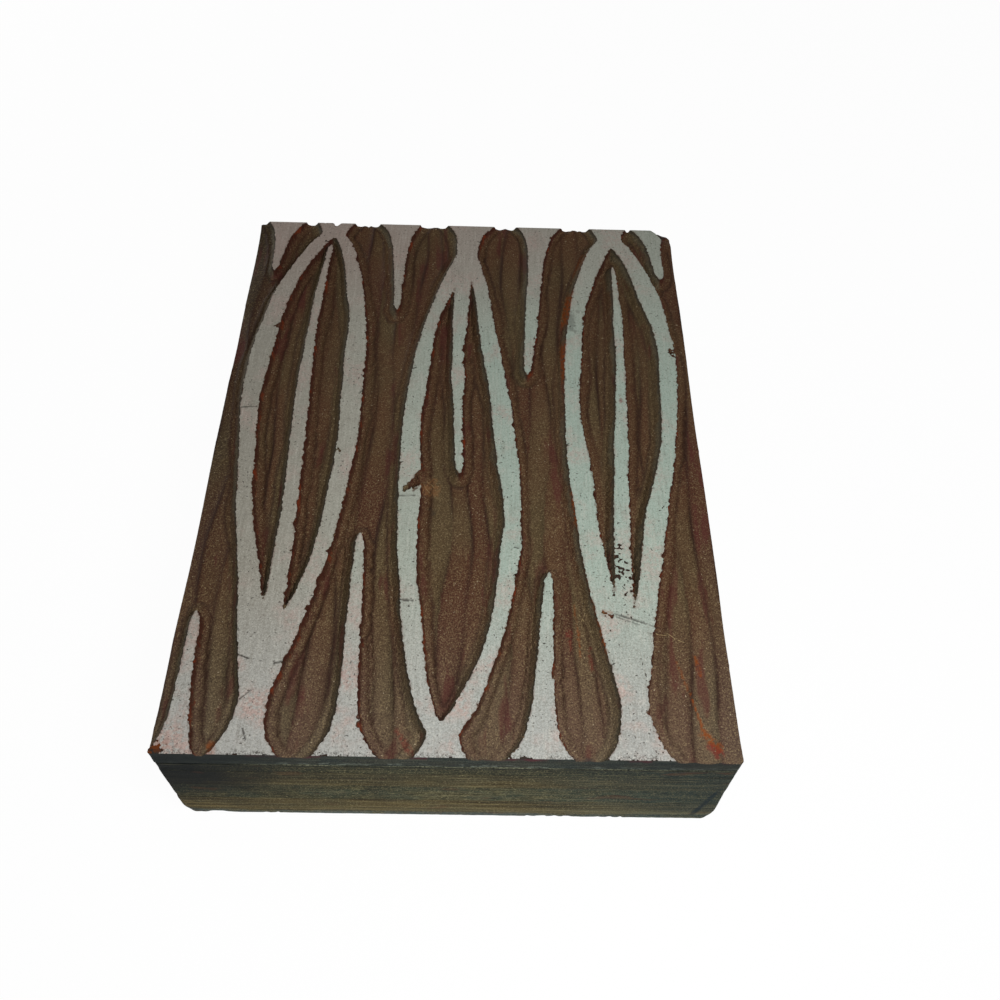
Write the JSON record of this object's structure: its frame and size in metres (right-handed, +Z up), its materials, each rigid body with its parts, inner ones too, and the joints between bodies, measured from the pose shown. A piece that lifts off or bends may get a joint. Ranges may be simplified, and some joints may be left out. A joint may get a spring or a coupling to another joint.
{
  "type": "printing block",
  "caption": "Hand-cut linoleum relief printing block on a type-high plywood mount, for a press bed or hand printing.",
  "frame": {"origin": "centre of the underside, which lies on the press bed or table", "axes": "+Z up through the carved printing face, +Y along the block's long side to the back, +X to the right of someone at the front short side"},
  "size_m": [0.0762, 0.1016, 0.0233],
  "materials": {
    "linoleum": "brown linoleum, scooped with a gouge, stained with old ink",
    "drawing_ground": "thin off-white drawing ground, worn, with specks and fine cracks",
    "hessian": "jute hessian pressed into the back of the linoleum, edge only in view",
    "end_grain_ply": "sawn plies whose end grain took up dark green ink",
    "long_grain_ply": "sawn crossbands, yellow-brown, stained with ink",
    "ply_glue": "thin dark glue line"
  },
  "bodies": {
    "root": {"back_veneer": "end_grain_ply", "glue_line_1": "ply_glue", "lower_crossband": "long_grain_ply", "glue_line_2": "ply_glue", "core_ply": "end_grain_ply", "glue_line_3": "ply_glue", "upper_crossband": "long_grain_ply", "glue_line_4": "ply_glue", "face_veneer": "end_grain_ply", "mounting_glue": "ply_glue", "hessian_backing": "hessian", "lino_sheet": "linoleum", "ground_left_leaf": "drawing_ground", "ground_middle_leaf": "drawing_ground", "ground_right_leaf": "drawing_ground", "ground_shoot_1": "drawing_ground", "ground_shoot_2": "drawing_ground", "ground_shoot_3": "drawing_ground", "ground_shoot_4": "drawing_ground", "ground_shoot_5": "drawing_ground", "ground_shoot_6": "drawing_ground", "ground_shoot_7": "drawing_ground"}
  },
  "joints": []
}
